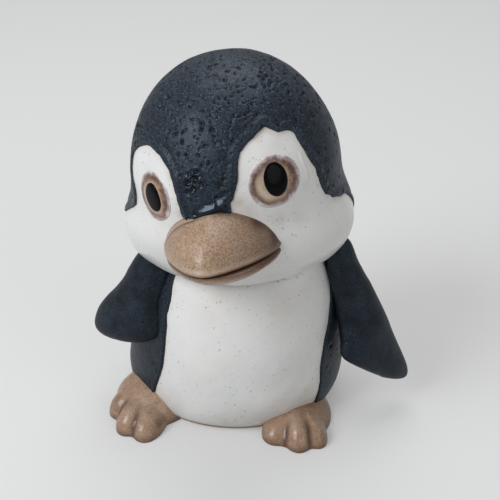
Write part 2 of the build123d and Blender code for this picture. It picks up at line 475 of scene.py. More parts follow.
def darkGlaze(name, look):
    material, tree, shader = newMaterial(name, look)
    height, grain = skinned(tree, *look["skin"])
    cloud = clouded(tree, *look["cloud"])
    hole = speckled(tree, *look["holes"])
    pool = readMask(tree, "pool")  # where the glaze has run and lies thick: smooth, dark and glossy
    calm = remap(tree, pool, 0.0, 1.0, 1.0, look["poolGrain"])
    patchy = times(tree, calm, remap(tree, cloud, 0.0, 1.0, look["mottle"], 1.0))
    colour = mixColour(tree, cloud, look["deep"], look["light"])
    grainy = times(tree, patchy, remap(tree, grain, *look["grainStep"]))
    colour = tinted(tree, colour, grainy, look["grainShare"], look["grain"])
    glints = times(tree, patchy, speckled(tree, *look["glints"]))
    colour = tinted(tree, colour, glints, look["glintShare"], look["glint"])
    holes = mathNode(tree, "MAXIMUM", hole, readMask(tree, "pit"))
    colour = tinted(tree, colour, holes, look["holeShare"], look["hole"])
    rough = remap(tree, holes, 0.0, 1.0, look["roughness"], look["holeRoughness"])
    rough = mathNode(tree, "SUBTRACT", rough, times(tree, pool, look["poolGloss"]))
    height = mathNode(tree, "SUBTRACT", times(tree, height, look["skinShare"]), hole)
    dressed(tree, shader, look, colour, times(tree, height, calm), rough)
    shader.inputs["Specular Tint"].default_value = (*look["sheen"], 1)
    return material


def paleGlaze(name, look):
    material, tree, shader = newMaterial(name, look)
    height, _ = skinned(tree, *look["skin"])
    cloud = clouded(tree, *look["cloud"])
    dirt = clouded(tree, *look["dirt"])
    dark = speckled(tree, *look["darkDots"])
    colour = mixColour(tree, cloud, look["white"], look["cool"])
    edge = brokenMask(tree, "edge", dirt, look["edgeLeast"])
    stainAndShadow = brokenMask(tree, "stainAndShadow", cloud, look["stainAndShadowLeast"])
    # tan along the edges, tan stains together with painted shadow under the beak, and dirt
    for mask, share in ((edge, look["edgeShare"]), (stainAndShadow, look["stainAndShadowShare"]), (dirt, look["dirtShare"])):
        colour = tinted(tree, colour, mask, share, look["tanStainAndShadow"])
    many = remap(tree, clouded(tree, *look["sprinkle"]), 0.0, 1.0, *look["drifts"])  # specks lie in drifts
    colour = tinted(tree, colour, speckled(tree, *look["tanDots"]), many, look["tanDot"])
    colour = tinted(tree, colour, dark, many, look["darkDot"])
    height = mathNode(tree, "SUBTRACT", height, times(tree, dark, look["dotDepth"]))
    dressed(tree, shader, look, colour, height, remap(tree, cloud, 0.0, 1.0, *look["roughRange"]))
    return material


def tanGlaze(name, look):
    material, tree, shader = newMaterial(name, look)
    height, grain = skinned(tree, *look["skin"])
    fine = speckled(tree, *look["fineDots"])
    colour = mixColour(tree, clouded(tree, *look["cloud"]), look["tan"], look["pale"])
    grainy = remap(tree, grain, *look["grainStep"], 0.0, look["grainShare"])
    colour = mixColour(tree, grainy, colour, look["fleck"])
    colour = tinted(tree, colour, fine, look["fineShare"], look["fleck"])
    colour = tinted(tree, colour, speckled(tree, *look["spots"]), look["spotShare"], look["spot"])
    # the wash mask is painted shade with some brown tint; worn is pale wear
    for mask in ("washAndShade", "worn"):
        colour = tinted(tree, colour, readMask(tree, mask), look[mask + "Share"], look[mask])
    rough = remap(tree, fine, 0.0, 1.0, look["roughness"], look["roughness"] + look["fleckRough"])
    dressed(tree, shader, look, colour, height, rough)
    return material


def eyeRingGlaze(name, look):
    material, tree, shader = newMaterial(name, look)
    height, _ = skinned(tree, *look["skin"])
    blotch = clouded(tree, *look["blotches"])
    ring = readMask(tree, "ring")  # 0 at the middle of the eye, 1 at the outer rim
    wave = mathNode(tree, "SUBTRACT", clouded(tree, *look["waves"]), 0.5)
    wavy = mathNode(tree, "ADD", ring, times(tree, wave, look["waveReach"]))
    colour = rampNode(tree, wavy, look["stops"])
    colour = tinted(tree, colour, blotch, look["tanShare"], look["tan"])
    shade = brokenMask(tree, "shade", blotch, look["shadeLeast"])
    colour = tinted(tree, colour, shade, look["shadeShare"], look["shade"])
    colour = tinted(tree, colour, readMask(tree, "cream"), look["creamShare"], look["cream"])
    halo = times(tree, remap(tree, wavy, *look["halo"]), speckled(tree, *look["holes"]))
    colour = tinted(tree, colour, halo, remap(tree, ring, *look["rim"]), look["hole"])
    dressed(tree, shader, look, colour, height)
    return material


def plainGlaze(name, look):
    # two clouded colours, with dots of a third where the look has them
    material, tree, shader = newMaterial(name, look)
    height, _ = skinned(tree, *look["skin"])
    colour = mixColour(tree, clouded(tree, *look["cloud"]), look["first"], look["second"])
    if "dots" in look:
        colour = tinted(tree, colour, speckled(tree, *look["dots"]), look["dotShare"], look["dot"])
    dressed(tree, shader, look, colour, height)
    return material


# bump: strength, depth. skin: grain, peel, share of peel. clouds: scale, low, high. dots: spacing, size, share
hoodLook = {
    "roughness": 0.46, "specular": 0.34, "sheen": (0.72, 0.86, 1.0), "bump": (1.0, 0.16),
    "skin": (2900.0, 620.0, 0.45), "skinShare": 0.5, "poolGrain": 0.12, "poolGloss": 0.36,
    "cloud": (75.0, 0.38, 0.68), "mottle": 0.55, "deep": (0.0035, 0.0052, 0.0085), "light": (0.0065, 0.0100, 0.0160),
    "grainStep": (0.44, 0.60), "grainShare": 0.75, "grain": (0.030, 0.044, 0.063),
    "glints": (3300.0, 0.34, 0.46), "glintShare": 0.8, "glint": (0.14, 0.19, 0.26),
    "holes": (980.0, 0.30, 0.56), "holeShare": 0.85, "hole": (0.002, 0.0025, 0.0035), "holeRoughness": 0.36,
}
flipperLook = dict(
    hoodLook, roughness=0.50, specular=0.28, bump=(0.45, 0.16), cloud=(230.0, 0.38, 0.68), mottle=0.15,
    deep=(0.0022, 0.0032, 0.005), light=(0.010, 0.0150, 0.0230), grain=(0.024, 0.035, 0.052),
    glints=(3300.0, 0.34, 0.16), glint=(0.05, 0.07, 0.10), holes=(980.0, 0.30, 0.16),
)
flankLook = dict(
    hoodLook, bump=(0.7, 0.16), grain=(0.021, 0.031, 0.045), glints=(3300.0, 0.34, 0.20), holes=(980.0, 0.30, 0.34),
)
whiteLook = {
    "roughness": 0.27, "roughRange": (0.22, 0.33), "specular": 0.5, "bump": (0.10, 0.12), "skin": (1500.0, 210.0, 0.8),
    "cloud": (120.0, 0.35, 0.75), "white": (0.80, 0.79, 0.765), "cool": (0.74, 0.745, 0.745),
    # one tan for the stains, the dirt and the painted shadow under the beak
    "tanStainAndShadow": (0.50, 0.38, 0.27), "dirt": (160.0, 0.55, 0.78), "dirtShare": 0.10,
    "edgeLeast": 0.30, "edgeShare": 0.55, "stainAndShadowLeast": 0.35, "stainAndShadowShare": 0.60,
    "sprinkle": (130.0, 0.42, 0.62), "drifts": (0.12, 0.60),  # where specks gather, and how strong they are
    "tanDots": (760.0, 0.20, 0.65), "tanDot": (0.50, 0.34, 0.24),
    "darkDots": (980.0, 0.17, 0.70), "darkDot": (0.13, 0.11, 0.11), "dotDepth": 0.6,
}
beakLook = {
    "roughness": 0.36, "fleckRough": 0.12, "specular": 0.45, "bump": (0.22, 0.10), "skin": (2900.0, 330.0, 0.6),
    "cloud": (150.0, 0.35, 0.72), "tan": (0.37, 0.245, 0.16), "pale": (0.48, 0.345, 0.245),
    "grainStep": (0.46, 0.60), "grainShare": 0.40, "fineDots": (3200.0, 0.62, 0.60), "fineShare": 0.44,
    "fleck": (0.125, 0.066, 0.038), "spots": (300.0, 0.17, 0.14), "spotShare": 0.8, "spot": (0.17, 0.024, 0.015),
    # a dark brown for painted shade in creases and corners, and for brown wash
    "washAndShadeShare": 0.92, "washAndShade": (0.060, 0.023, 0.012), "wornShare": 0.65, "worn": (0.55, 0.43, 0.33),
}
footLook = dict(
    beakLook, roughness=0.28, tan=(0.33, 0.20, 0.125), pale=(0.47, 0.33, 0.23), cloud=(210.0, 0.35, 0.72),
    grainShare=0.35, fineShare=0.30, spots=(300.0, 0.17, 0.05),
)
eyeLook = {
    "roughness": 0.28, "specular": 0.45, "bump": (0.35, 0.08), "skin": (2600.0, 520.0, 0.5),
    "waves": (520.0, 0.36, 0.66), "waveReach": 0.17,
    "stops": [  # from the middle of the eye to its rim
        (0.0, (0.40, 0.27, 0.18)), (0.52, (0.48, 0.345, 0.245)), (0.66, (0.40, 0.265, 0.18)),
        (0.74, (0.26, 0.145, 0.10)), (0.80, (0.21, 0.125, 0.10)), (0.87, (0.38, 0.30, 0.31)),
        (0.94, (0.56, 0.51, 0.52)), (1.0, (0.75, 0.74, 0.72)),
    ],
    "blotches": (900.0, 0.40, 0.62), "tanShare": 0.28, "tan": (0.30, 0.18, 0.12),
    "shadeLeast": 0.35, "shadeShare": 0.85, "shade": (0.085, 0.036, 0.021),
    "creamShare": 0.75, "cream": (0.68, 0.57, 0.46), "holes": (2100.0, 0.42, 0.55), "hole": (0.085, 0.048, 0.055),
    "halo": (0.74, 0.84, 0.25, 1.0), "rim": (0.90, 1.0, 0.65, 0.0),  # where holes show: from, to, how much
}
pupilLook = {
    "roughness": 0.14, "specular": 0.07, "bump": (0.15, 0.06), "skin": (1800.0, 420.0, 0.9),
    "cloud": (700.0, 0.45, 0.8), "first": (0.0022, 0.0022, 0.0028), "second": (0.006, 0.0045, 0.004),
}
clayLook = {
    "roughness": 0.85, "specular": 0.3, "bump": (0.5, 0.15), "skin": (1600.0, 380.0, 0.4), "cloud": (130.0, 0.3, 0.7),
    "first": (0.42, 0.29, 0.19), "second": (0.50, 0.37, 0.26),
    "dots": (900.0, 0.30, 0.25), "dotShare": 0.6, "dot": (0.22, 0.13, 0.08),
}

hoodMaterial = darkGlaze("hoodGlaze", hoodLook)
flankMaterial = darkGlaze("flankGlaze", flankLook)
flipperMaterial = darkGlaze("flipperGlaze", flipperLook)
whiteMaterial = paleGlaze("whiteGlaze", whiteLook)
beakMaterial = tanGlaze("beakGlaze", beakLook)
footMaterial = tanGlaze("footGlaze", footLook)
eyeMaterial = eyeRingGlaze("eyeRingGlaze", eyeLook)
pupilMaterial = plainGlaze("pupilGlaze", pupilLook)
clayMaterial = plainGlaze("bareClay", clayLook)
for node in ("body_shell", "head_shell"):
    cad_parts[node].data.materials.clear()
    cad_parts[node].data.materials.append(clayMaterial)
print("materials ready")


# body form

bodyShape = {
    "width": 47.0, "depth": 41.0, "height": 48.0, "lean": 4.0, "bareRing": 0.8, "baseRound": 1.2, "rows": 700,
    "rings": [  # height, width, depth and setback, as shares
        (0.0, 0.92, 0.90, 0.0), (0.08, 0.985, 0.97, -0.005), (0.26, 1.0, 1.0, -0.012), (0.48, 0.965, 0.965, -0.01),
        (0.68, 0.87, 0.86, 0.0), (0.84, 0.68, 0.67, 0.0), (0.95, 0.40, 0.40, 0.0), (1.0, 0.0, 0.0, 0.0),
    ],
}
bodyRows = formRows(bodyShape)


def bodyAt(rise):
    k = np.interp(rise, bodyRows[:, 0], np.arange(len(bodyRows)))
    return [np.interp(k, np.arange(len(bodyRows)), bodyRows[:, c]) for c in (1, 2, 3)]


def insideBody(p, inset):
    a, b, s = bodyAt(p[:, 2])
    x = (p[:, 0] - bodyShape["lean"] * p[:, 2] / bodyShape["height"]) / np.maximum(a - inset, hairline)
    y = (p[:, 1] - s) / np.maximum(b - inset, hairline)
    return (x * x + y * y < 1) & (p[:, 2] > 0) & (p[:, 2] < bodyShape["height"] - inset)


# head form

headShape = {
    "width": 47.8, "depth": 45.0, "height": 46.0, "centre": (0.9, -2.0, 55.5), "turn": 6.0, "tilt": 5.0,
    # the sides sit over to the bird's left: how far, at what height, and from where round the head
    "leftDrift": 0.8, "rightDrift": 0.18, "driftRise": 3.0, "driftSpan": 10.0, "sideFrom": 0.72, "sideSpan": 0.25,
    "rings": [  # as for the body
        (-0.435, 0.70, 0.66, 0.0), (-0.37, 0.90, 0.80, -0.01), (-0.28, 1.0, 0.90, -0.012), (-0.19, 0.985, 0.96, -0.01),
        (-0.08, 0.90, 0.99, 0.0), (0.06, 0.86, 1.0, 0.0), (0.20, 0.79, 0.92, 0.0), (0.32, 0.67, 0.775, 0.0),
        (0.42, 0.475, 0.545, 0.0), (0.475, 0.27, 0.31, 0.0), (0.5, 0.0, 0.0, 0.0),
    ],
    "rows": 700, "halvings": 36, "cells": 150, "buried": 2.2, "lowest": -0.80, "girthRadius": 21.5,
}
headRows = formRows(headShape)
headTurn = turned("Z", -headShape["turn"]) @ turned("Y", -headShape["tilt"])
headCentre = np.array(headShape["centre"])


def onHead(directions):
    # where rays from the head's centre leave the head
    around = np.arctan2(directions[:, 1], directions[:, 0])
    rise = np.arctan2(directions[:, 2], np.hypot(directions[:, 0], directions[:, 1]))
    low, high = np.zeros(len(directions)), np.full(len(directions), len(headRows) - 1.0)
    index = np.arange(len(headRows))
    for _ in range(headShape["halvings"]):
        mid = (low + high) / 2
        z = np.interp(mid, index, headRows[:, 0])
        a, b = (np.maximum(np.interp(mid, index, headRows[:, c]), tiny) for c in (1, 2))
        reach = 1 / np.sqrt((np.cos(around) / a) ** 2 + (np.sin(around) / b) ** 2)
        below = np.arctan2(z, reach) < rise
        low, high = np.where(below, mid, low), np.where(below, high, mid)
    back = np.interp(mid, index, headRows[:, 3])
    atSide = ramp(np.abs(np.cos(around)), headShape["sideFrom"], headShape["sideSpan"])
    most = np.where(np.cos(around) > 0, headShape["leftDrift"], headShape["rightDrift"])
    drift = most * hump(z, headShape["driftRise"], headShape["driftSpan"]) * eased(atSide)
    return np.stack([reach * np.cos(around) + drift, reach * np.sin(around) + back, z], 1)


def headToWorld(p):
    return p @ headTurn.T + headCentre


def proudOfHead(world):
    # how far each point stands out of the head, and its height in the head's own frame
    local = (world - headCentre) @ headTurn
    far = np.linalg.norm(local, axis=1)
    return far - np.linalg.norm(onHead(local / np.maximum(far, tiny)[:, None]), axis=1), local[:, 2]


def insideHead(p, inset):
    proud, rise = proudOfHead(p)
    return (proud < -inset) & (rise > headShape["rings"][0][0] * headShape["height"])


# face layout, drawn in the plane square to each eye: outwards, upwards

faceShape = {
    "tilt": 6.5, "eyeTurn": 3.5, "eyeAzimuth": 34.2, "eyeLatitude": 8.2, "frontFrom": 3.0, "loopSteps": 4,
    "leftLobe": [
        (-9.4, -13.0), (-9.2, -6.0), (-9.1, -1.3), (-8.4, -0.5), (-7.2, 1.7), (-6.1, 4.3), (-5.0, 7.0), (-3.2, 8.3),
        (-1.4, 9.2), (0.5, 10.1), (1.7, 10.4), (2.6, 9.6), (3.8, 8.6), (5.4, 8.3), (6.4, 7.7), (7.1, 6.2), (7.7, 4.3),
        (8.2, 2.6), (8.7, 0.8), (9.5, -0.7), (9.6, -2.2), (9.9, -4.0), (10.5, -6.0), (11.2, -8.6), (11.5, -13.0),
    ],
    "rightLobe": [
        (-8.4, -13.0), (-8.1, -7.0), (-7.8, -4.1), (-7.3, -2.5), (-7.0, -0.5), (-6.6, 2.1), (-5.6, 5.0), (-4.2, 6.7),
        (-2.1, 8.2), (0.2, 9.0), (2.4, 9.0), (4.6, 8.4), (7.0, 7.2), (8.6, 5.3), (8.9, 3.0), (7.9, 0.8), (7.2, -1.6),
        (7.9, -4.2), (9.6, -7.5), (10.0, -13.0),
    ],
    "cheeks": [  # round the head in degrees from the face, height
        (40.0, -2.0), (66.0, -4.7), (71.0, -6.3), (77.7, -7.2), (86.3, -8.4), (91.2, -10.1), (97.6, -12.8),
        (103.0, -17.0), (105.0, -26.0), (-105.0, -26.0), (-103.0, -16.0), (-97.0, -11.2), (-88.0, -7.9), (-78.0, -5.7),
        (-67.7, -3.7), (-61.9, -2.6), (-54.6, -1.2), (-40.0, -1.0), (-15.0, -5.0), (12.0, -5.0),
    ],
    "edgeWander": 0.16, "wander": [(1.7, 1.0, 3), (0.8, 0.6, 5)],
}
eyeTurn = turned("Y", -faceShape["tilt"]) @ turned("Z", faceShape["eyeTurn"])
eyeSide, eyeLift = math.radians(faceShape["eyeAzimuth"]), math.radians(faceShape["eyeLatitude"])
eyeOut = np.array([math.cos(eyeSide), math.sin(eyeSide), 0.0])
eyeAxis = np.array([math.sin(eyeSide), -math.cos(eyeSide), 0.0]) * math.cos(eyeLift) + [0, 0, math.sin(eyeLift)]
eyeUp = np.cross(eyeAxis, eyeOut)
lobeLoops = {
    1: smoothLoop(faceShape["leftLobe"], faceShape["loopSteps"]),
    -1: smoothLoop(faceShape["rightLobe"], faceShape["loopSteps"]),
}
cheekLoop = smoothLoop(
    [(math.radians(a) * headShape["girthRadius"], z) for a, z in faceShape["cheeks"]], faceShape["loopSteps"],
)


def eyePlane(p, side):
    # places seen square to the left (1) or right (-1) eye, and which of them are on its side of the head
    q = p @ eyeTurn
    s = q if side == 1 else q * mirrorX
    return np.stack([s @ eyeOut, s @ eyeUp], 1), s @ eyeAxis > faceShape["frontFrom"]


def roundHead(p):
    # radians round the head from the face, and the face's own frame
    q = p @ eyeTurn
    return np.arctan2(q[:, 0], -q[:, 1]), q


def faceField(directions):
    # how far inside the pale face each point of the head is, in millimetres
    p = onHead(unitRows(directions))
    around, q = roundHead(p)
    best = insideBy(np.stack([around * headShape["girthRadius"], q[:, 2]], 1), cheekLoop)
    for side in (1, -1):
        flat, front = eyePlane(p, side)
        best = np.where(front, np.maximum(best, insideBy(flat, lobeLoops[side])), best)
    return best + faceShape["edgeWander"] * swellOf(p, faceShape["wander"])


def roundedEdge(distance, width):
    # share of full coat thickness at a distance from the coat's edge
    return np.sqrt(1 - (1 - unit(distance / width)) ** 2)


headDirections, headQuads = quadSphere(headShape["cells"])
buried = insideBody(headToWorld(onHead(headDirections)), headShape["buried"])
headQuads = headQuads[~buried[headQuads].all(1)]
headQuads = headQuads[~(headDirections[:, 2] < headShape["lowest"])[headQuads].any(1)]

faceCoat = {
    "inset": 0.4, "under": 1.2, "depth": 0.5, "edgeStain": 1.3, "lumps": [(6.0, 0.14, 11), (2.4, 0.05, 12)],
    "stainsAndShadow": [  # tan stains, and painted shadow under the beak: eye side, outwards, upwards, size, strength
        (1, -7.4, -1.4, 1.3, 0.9), (1, -6.6, -3.4, 1.6, 0.6), (1, -0.6, -7.4, 1.7, 0.5), (1, 3.6, -9.2, 1.5, 0.45),
        (1, -4.6, -11.6, 2.4, 0.55), (1, 6.6, -3.2, 1.0, 0.5), (-1, -5.4, -6.4, 1.5, 0.5), (-1, -7.2, -3.0, 1.2, 0.5),
    ],
    # a thin tan ridge beside the left eye
    "scratch": {"start": (7.0, 3.2), "end": (7.6, -2.2), "width": 0.22, "height": 0.10, "tanStainAndShadow": 0.5},
}


def faceStainsAndShadow(p):
    # tan stains on the face, and painted shadow under the beak
    total = np.zeros(len(p))
    for side, out, up, size, strength in faceCoat["stainsAndShadow"]:
        flat, front = eyePlane(p, side)
        away = ((flat - (out, up)) ** 2).sum(1) / size**2
        total = np.maximum(total, np.where(front, strength * np.exp(-away), 0))
    return total


def faceScratch(p):
    own = faceCoat["scratch"]
    flat, front = eyePlane(p, 1)
    run = np.array(own["end"]) - np.array(own["start"])
    at = flat - np.array(own["start"])
    share = unit(at @ run / (run @ run))
    away = np.linalg.norm(at - share[:, None] * run, axis=1)
    return np.where(front, hump(away, 0, own["width"]), 0)


def buildFace():
    directions, faces, field = cutSkin(headDirections, headQuads, faceField, -faceCoat["under"])
    directions = unitRows(directions)
    p = onHead(directions)
    scratch = faceScratch(p)
    masks = {
        "edge": unit(1 - (field - faceCoat["under"]) / faceCoat["edgeStain"]),
        "stainAndShadow": unit(faceStainsAndShadow(p) + faceCoat["scratch"]["tanStainAndShadow"] * scratch),
    }
    proud = swellOf(p, faceCoat["lumps"]) - faceCoat["inset"] + faceCoat["scratch"]["height"] * scratch
    p = headToWorld(p + directions * proud[:, None])
    newPiece("faceGlaze", p, faces, whiteMaterial, "face_coat", masks, faceCoat["depth"])


hoodCoat = {
    "edgeWidth": 0.5, "edgeDrop": 0.5, "fineNear": 0.9, "depth": 0.45, "lumps": [(7.0, 0.16, 21), (2.2, 0.05, 22)],
    "peak": {"middle": -1.9, "half": 9.0, "strength": 1.6},  # degrees round the head
    "beakLine": {"from": -13.4, "rise": -1.2, "climb": 0.117},  # where the peak meets the beak: degrees, height, slope
    "roll": {"height": 0.95, "over": 0.7, "width": 1.0},  # the thick edge of the peak, over the beak
    "pool": {"over": 1.0, "width": 1.6},
    "fold": {"height": 0.13, "ridge": 1.0, "trough": 2.0, "width": 0.45},  # a ridge beside the face
    "pits": {"seed": 4, "count": 1450, "radius": 0.30, "deep": 1.0, "deepest": 0.5},
    "pitPlaces": {"clear": 0.9, "reach": 20.0, "least": 0.25, "most": 1.2, "power": 1.5, "front": 0.5},
    "craters": [  # burst bubbles above the peak: degrees round the head, height, radius
        (-8.2, 6.6, 0.75), (-5.6, 5.6, 0.60), (-4.4, 7.2, 0.80), (-1.8, 6.3, 0.62), (-3.0, 8.5, 0.50),
        (-7.0, 8.2, 0.45),
    ],
    "craterForm": {"lip": 0.22, "lipAt": 1.25, "lipWidth": 0.3, "bowl": 0.70, "shine": 1.7, "dark": 0.7},
}


def buildHood():
    fine = hoodCoat["fineNear"]
    directions, faces, field = cutSkin(headDirections, headQuads, lambda d: -faceField(d), 0.0, fine)
    directions = unitRows(directions)
    p = onHead(directions)
    around, q = roundHead(p)
    degrees = np.degrees(around)
    peak, line, fold = hoodCoat["peak"], hoodCoat["beakLine"], hoodCoat["fold"]
    front = unit(peak["strength"] - np.abs(degrees - peak["middle"]) / peak["half"])
    overBeak = q[:, 2] - (line["rise"] + line["climb"] * (degrees - line["from"]))
    roll, pool = (front * hump(overBeak, hoodCoat[k]["over"], hoodCoat[k]["width"]) for k in ("roll", "pool"))
    ridge = hump(field, fold["ridge"], fold["width"]) - hump(field, fold["trough"], fold["width"])
    raised = swellOf(p, hoodCoat["lumps"]) + hoodCoat["roll"]["height"] * roll + fold["height"] * ridge
    drop = hoodCoat["edgeDrop"] * (1 - roundedEdge(field, hoodCoat["edgeWidth"]))
    p = p + directions * (raised * unit(field) - drop)[:, None]
    own = hoodCoat["pitPlaces"]  # most pits are on the crown and the brow
    crown = np.clip(p[:, 2] / own["reach"], 0, own["most"]) ** own["power"]
    chances = own["least"] + crown + own["front"] * unit(-p[:, 1] / own["reach"])
    p, pit = pitted(p, directions, hoodCoat["pits"], (field > own["clear"]) * chances)
    own = hoodCoat["craterForm"]
    for place, rise, radius in hoodCoat["craters"]:
        away = np.hypot(np.radians(degrees - place) * headShape["girthRadius"], q[:, 2] - rise) / radius
        away = np.where(q[:, 1] < 0, away, np.inf)
        bowl = unit(1 - away**2)
        lip = hump(away, own["lipAt"], own["lipWidth"])
        p = p + directions * (radius * (own["lip"] * lip - own["bowl"] * bowl))[:, None]
        pool = np.maximum(pool, hump(away, 0, own["shine"]))
        pit = np.maximum(pit, own["dark"] * bowl)
    masks = {"pit": pit, "pool": unit(pool)}
    newPiece("hoodGlaze", headToWorld(p), faces, hoodMaterial, "hood_coat", masks, hoodCoat["depth"])


buildFace()
buildHood()


# eyes

eyeShape = {
    # half width, half height, outwards, upwards
    "leftRing": (5.45, 4.95, 0.25, 0.25), "rightRing": (4.6, 4.95, -0.75, -0.05),
    "leftPupil": (2.45, 3.3, 0.42, 0.62), "rightPupil": (2.35, 2.9, -0.6, -0.2),
    "rings": 26, "spokes": 96, "nearest": 8.0, "farthest": 30.0, "halvings": 26, "depth": 0.3,
    "ringLift": 0.03, "ringProud": 0.10, "pupilLift": 0.08, "pupilProud": 0.42, "domePower": 4,
    "profile": [(0, 0.6), (0.6, 1.0), (0.74, 0.9), (0.80, 0.2), (0.88, 0.5), (0.96, 0.4), (1.0, -0.4)],
    # washes on the ring: towards, spread, share of the way out, width, strength; brown right, on top and left
    "brown": [(0.20, 1.3, 0.71, 0.15, 1.0), (math.pi / 2, 2.0, 0.76, 0.10, 0.8), (3.0, 1.0, 0.80, 0.07, 0.8)],
    "cream": [(3.75, 1.5, 0.58, 0.12, 1.0)],  # cream low on the left
}


def eyeSheet(side, oval):
    # a disc of points laid on the face coat round an eye, from the middle outwards
    width, height, out, up = oval
    rings, spokes = eyeShape["rings"], eyeShape["spokes"]
    share = np.linspace(0, 1, rings)
    angle = np.arange(spokes) / spokes * 2 * math.pi
    u = (out + width * share[:, None] * np.cos(angle)).reshape(-1)
    v = (up + height * share[:, None] * np.sin(angle)).reshape(-1)
    flat = u[:, None] * eyeOut + v[:, None] * eyeUp
    low, high = np.full(len(u), eyeShape["nearest"]), np.full(len(u), eyeShape["farthest"])
    for _ in range(eyeShape["halvings"]):
        mid = (low + high) / 2
        s = flat + mid[:, None] * eyeAxis
        q = (s if side == 1 else s * mirrorX) @ eyeTurn.T
        within = np.linalg.norm(q, axis=1) < np.linalg.norm(onHead(unitRows(q)), axis=1) - faceCoat["inset"]
        low, high = np.where(within, mid, low), np.where(within, high, mid)
    keep = slice(spokes - 1, None)  # one middle point, then the rings
    q = q[keep]
    return q, unitRows(q), swellOf(q, faceCoat["lumps"]), np.repeat(share, spokes)[keep], np.tile(angle, rings)[keep]


def eyeFaces(side):
    # the first point is the middle; the rings of spokes follow it
    spokes = eyeShape["spokes"]
    faces = [tuple(i + 1 for i in f) for f in gridFaces(eyeShape["rings"] - 1, spokes)]
    faces += [(0, 1 + (j + 1) % spokes, 1 + j) for j in range(spokes)]
    return faces if side == -1 else turnedOver(faces)


def ringWash(washes, turn, share):
    parts = [k * unit(np.cos(turn - to)) ** spread * hump(share, at, width) for to, spread, at, width, k in washes]
    return unit(sum(parts))


def buildEye(label, side):
    faces = eyeFaces(side)
    q, outward, swell, share, angle = eyeSheet(side, eyeShape[label + "Ring"])
    turn = angle if side == 1 else math.pi - angle  # both eyes are washed from the same side
    masks = {
        "ring": share,
        "shade": ringWash(eyeShape["brown"], turn, share), "cream": ringWash(eyeShape["cream"], turn, share),
    }
    proud = swell + eyeShape["ringProud"] * np.interp(share, *zip(*eyeShape["profile"])) + eyeShape["ringLift"]
    p = headToWorld(q + outward * proud[:, None])
    newPiece(label + "Iris", p, faces, eyeMaterial, label + "_iris", masks, eyeShape["depth"])
    q, outward, swell, share, _ = eyeSheet(side, eyeShape[label + "Pupil"])
    dome = np.sqrt(unit(1 - share ** eyeShape["domePower"]))
    p = headToWorld(q + outward * (swell + eyeShape["pupilLift"] + eyeShape["pupilProud"] * dome)[:, None])
    newPiece(label + "Pupil", p, faces, pupilMaterial, label + "_pupil", {}, eyeShape["depth"])


buildEye("left", 1)
buildEye("right", -1)
print("head done")


# beak

beakShape = {
    "halfWidth": 11.2, "length": 15.4, "seat": 17.5, "drop": 6.55, "droop": 1.9, "tilt": 2.3, "turn": 1.4,
    "sideways": 1.0, "sag": 1.35, "cornerSag": 0.8, "cornerPower": 6, "pointed": 1.235, "lowerPointed": 0.98,
    "brow": 1.136, "gap": 0.26, "lip": 0.28, "lipAt": 0.55, "lipWidth": 0.5,
    "rows": 72, "spokes": 240, "crowding": 1.2, "topShare": 0.002,
    "under": [(0.02, -0.18), (0.45, -0.18), (0.90, -0.18), (0.955, -0.16), (0.985, -0.10)],  # share outwards, height
    "upper": {"height": 8.0, "inset": 0.0, "rimWashAndShade": 0.75, "wornAt": 0.95, "wornWidth": 0.40},
    "lower": {"height": 5.8, "inset": 0.15, "rimWashAndShade": 0.35, "wornAt": 1.5, "wornWidth": 0.5},
    # on the bird's right a band follows the face, with a groove along its inner side
    "rimBand": 1.15, "rimDepth": 0.22, "rimWidth": 0.30, "rightFrom": 1.0, "rightSpan": 2.5, "lumps": [(5.0, 0.10, 31)],
    "washAndShade": {  # painted shade along the mouth and the face, in the corners and in the groove; on the bird's left cheek of the beak, painted shade with a browner tint
        "mouthWidth": 0.50, "rimWidth": 1.0, "rimFrom": -3.6, "rimSpan": 6.0, "rimLeast": 0.2, "rimPlain": 0.45,
        "cornerFrom": 8.5, "cornerSpan": 3.0, "cornerWidth": 1.6, "cheekFrom": 1.0, "cheekSpan": 8.0, "cheekPlain": 0.5,
        "cheek": 0.80, "corner": 0.6, "groove": 0.75, "blotchSize": 3.0, "blotchSeed": 33,
    },
    "worn": {  # the lip and the band by the face are worn pale
        "plain": 0.35, "patchy": 0.4, "least": -0.5, "size": 4.0, "seed": 34,
        "band": 0.6, "bandAt": 0.5, "bandHalf": 0.5, "bandStrength": 1.2,
    },
}


def beakToWorld(p):
    out = p[:, 0] / beakShape["halfWidth"]
    hang = unit(out) ** beakShape["cornerPower"]  # the left corner hangs
    sag = beakShape["sag"] * out**2 + beakShape["cornerSag"] * hang
    seated = (p - np.outer(sag, [0, 0, 1])) @ turned("X", beakShape["droop"]).T
    seated = seated + np.array([beakShape["sideways"], -beakShape["seat"], -beakShape["drop"]])
    return headToWorld(seated @ turned("Z", beakShape["turn"]).T @ turned("Y", -beakShape["tilt"]).T)


